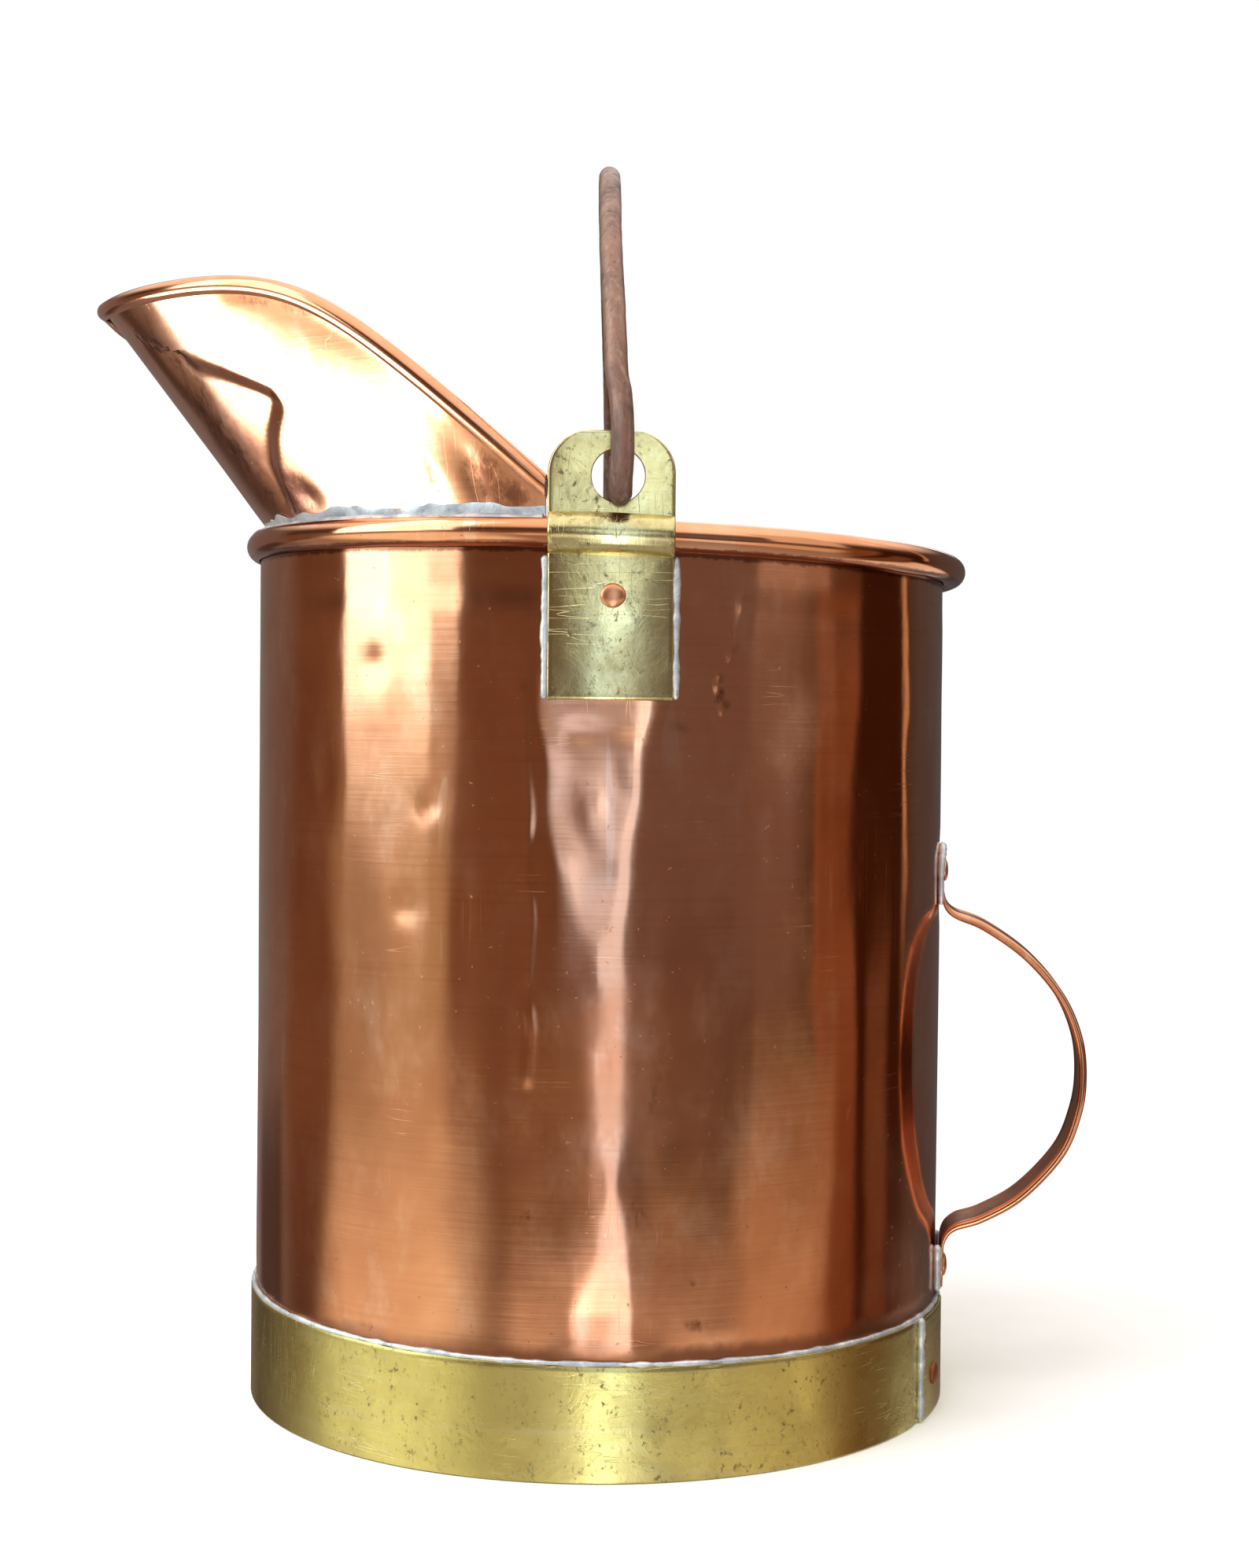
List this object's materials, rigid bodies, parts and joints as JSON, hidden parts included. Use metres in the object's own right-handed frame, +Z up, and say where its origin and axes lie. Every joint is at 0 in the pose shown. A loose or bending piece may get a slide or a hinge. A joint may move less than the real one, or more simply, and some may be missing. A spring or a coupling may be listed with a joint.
{
  "type": "coal scuttle",
  "caption": "Round copper coal scuttle with a flared pouring hood, a brass band round its foot, a strap handle behind and a bail that swings between riveted ears.",
  "frame": {"origin": "floor level, in the middle of the object's extents along X and Y; the round body's axis stands 3.5 mm from it towards +X", "axes": "+Z up; -X is the pouring side and +X the side of the strap handle; the two ears and the bail's pivots are at -Y and +Y"},
  "size_m": [0.3774, 0.2924, 0.4622],
  "materials": {
    "copper": "polished copper, worn and scratched",
    "brass": "dull brass with dark mottling",
    "iron": "rusted wrought iron rod",
    "steel": "plain wire, hidden in the rolls",
    "solder": "lumpy soft solder"
  },
  "bodies": {
    "bucket": {"body_shell": "copper", "spout": "copper", "back_handle": "copper", "bottom_plate": "copper", "ear_rivet_left": "copper", "ear_rivet_right": "copper", "handle_rivet_top": "copper", "handle_rivet_bottom": "copper", "band_rivet": "copper", "base_band": "brass", "ear_left": "brass", "ear_right": "brass", "rim_wire": "steel", "spout_wire": "steel", "solder_band": "solder", "solder_spout": "solder", "solder_ear_left_front": "solder", "solder_ear_left_back": "solder", "solder_ear_right_front": "solder", "solder_ear_right_back": "solder", "solder_handle_top": "solder", "solder_handle_near": "solder", "solder_handle_far": "solder", "solder_lap": "solder"},
    "bail": {"bail": "iron"}
  },
  "joints": [
    {"name": "bail_swing", "type": "hinge", "parent": "bucket", "child": "bail", "pos_m": [0.0083, 0, 0.3295], "axis": [0, 1, 0], "range_deg": [-52, 95]}
  ]
}
